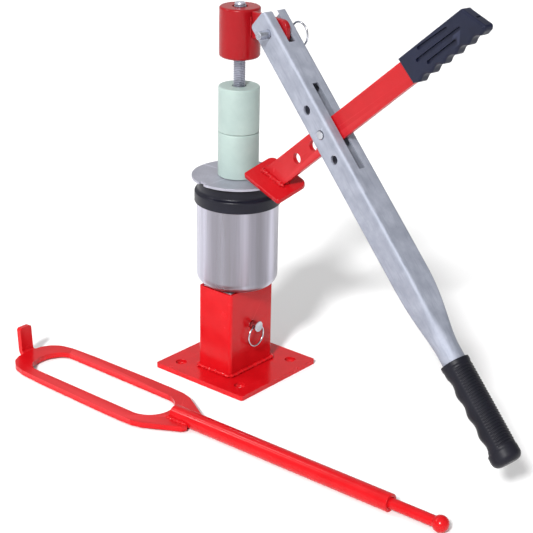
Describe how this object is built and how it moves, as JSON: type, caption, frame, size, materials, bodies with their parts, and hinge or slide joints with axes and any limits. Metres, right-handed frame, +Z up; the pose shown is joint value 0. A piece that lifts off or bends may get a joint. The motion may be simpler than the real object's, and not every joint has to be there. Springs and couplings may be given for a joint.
{
  "type": "bead breaker",
  "caption": "Bench stand with a steel drum, rubber seat, rod and swivelling cap; a hinged lever carries a breaker arm with a shoe; loose looped demount bar.",
  "frame": {"origin": "centre of the base plate's underside", "axes": "+Z up along the rod, +X along the base tube's long side, +Y across it, along the loose bar"},
  "size_m": [0.2635, 0.6415, 0.4942],
  "materials": {
    "red_paint": "glossy red powder coat",
    "zinc_plate": "zinc plated",
    "disc_plate": "plain zinc plated sheet",
    "lever_zinc": "satin zinc plate, slightly mottled",
    "brushed_drum": "brushed stainless",
    "bright_pin": "bright plated",
    "nylon": "satin nylon",
    "ring_rubber": "moulded black rubber",
    "charcoal_grip": "ribbed grip rubber",
    "navy_grip": "smooth grip rubber"
  },
  "bodies": {
    "base": {"base_plate": "red_paint", "base_tube": "red_paint", "base_weld": "red_paint", "inner_post": "zinc_plate", "post_cap": "zinc_plate", "drum": "brushed_drum", "rubber_ring": "ring_rubber", "threaded_rod": "zinc_plate", "rod_nut_lower": "zinc_plate", "rod_nut_upper": "zinc_plate", "rod_washer": "zinc_plate", "hub_nut": "zinc_plate", "hub_bush": "nylon"},
    "disc": {"disc": "disc_plate"},
    "spacer_lower": {"spacer_lower": "nylon"},
    "spacer_upper": {"spacer_upper": "nylon"},
    "hub": {"hub": "red_paint", "hub_lug": "red_paint", "lug_weld_far": "red_paint", "lug_weld_near": "red_paint"},
    "lever": {"lever_tube": "lever_zinc", "lever_grip": "charcoal_grip"},
    "clevis_pin": {"clevis_pin": "bright_pin"},
    "clevis_ring": {"clevis_ring": "bright_pin"},
    "arm": {"breaker_arm": "red_paint", "shoe_plate": "red_paint", "shoe_weld_far": "red_paint", "shoe_weld_near": "red_paint", "arm_grip": "navy_grip"},
    "arm_pin": {"arm_pin": "bright_pin"},
    "lock_pin": {"lock_pin": "bright_pin"},
    "lock_ring": {"lock_ring": "bright_pin"},
    "demount_bar": {"demount_loop": "red_paint", "demount_tube": "red_paint", "demount_shaft": "red_paint", "demount_weld": "red_paint"}
  },
  "joints": [
    {"name": "hub_swivel", "type": "hinge", "parent": "base", "child": "hub", "pos_m": [0, 0, 0.42], "axis": [0, 0, 1], "continuous": true},
    {"name": "lever_swing", "type": "hinge", "parent": "hub", "child": "lever", "pos_m": [-0.0117, -0.06567, 0.4197], "axis": [-0.9845, 0.1754, 0], "range_deg": [0, 55]},
    {"name": "arm_swing", "type": "hinge", "parent": "lever", "child": "arm", "pos_m": [-0.02703, -0.15175, 0.33], "axis": [-0.9845, 0.1754, 0], "range_deg": [-8, 3]},
    {"name": "arm_pin_pull", "type": "slide", "parent": "lever", "child": "arm_pin", "axis": [0.9845, -0.1754, 0], "range_m": [0, 0.036]},
    {"name": "clevis_pin_pull", "type": "slide", "parent": "hub", "child": "clevis_pin", "axis": [0.9845, -0.1754, 0], "range_m": [0, 0.052]},
    {"name": "clevis_ring_swing", "type": "hinge", "parent": "clevis_pin", "child": "clevis_ring", "pos_m": [0.00583, -0.06879, 0.4197], "axis": [-0.0262, -0.1472, 0.9888], "range_deg": [0, 85]},
    {"name": "lock_pin_pull", "type": "slide", "parent": "base", "child": "lock_pin", "axis": [0, -1, 0], "range_m": [0, 0.058]},
    {"name": "lock_ring_swing", "type": "hinge", "parent": "lock_pin", "child": "lock_ring", "pos_m": [0, -0.0306, 0.0613], "axis": [-1, 0, 0], "range_deg": [-5, 85]},
    {"name": "disc_lift", "type": "slide", "parent": "base", "child": "disc", "axis": [0, 0, 1], "range_m": [0, 0.004]},
    {"name": "spacer_lower_lift", "type": "slide", "parent": "disc", "child": "spacer_lower", "axis": [0, 0, 1], "range_m": [0, 0.012]},
    {"name": "spacer_upper_lift", "type": "slide", "parent": "spacer_lower", "child": "spacer_upper", "axis": [0, 0, 1], "range_m": [0, 0.012]},
    {"name": "demount_bar_lift", "type": "slide", "parent": "base", "child": "demount_bar", "axis": [0, 0, 1], "range_m": [0, 0.5]}
  ]
}
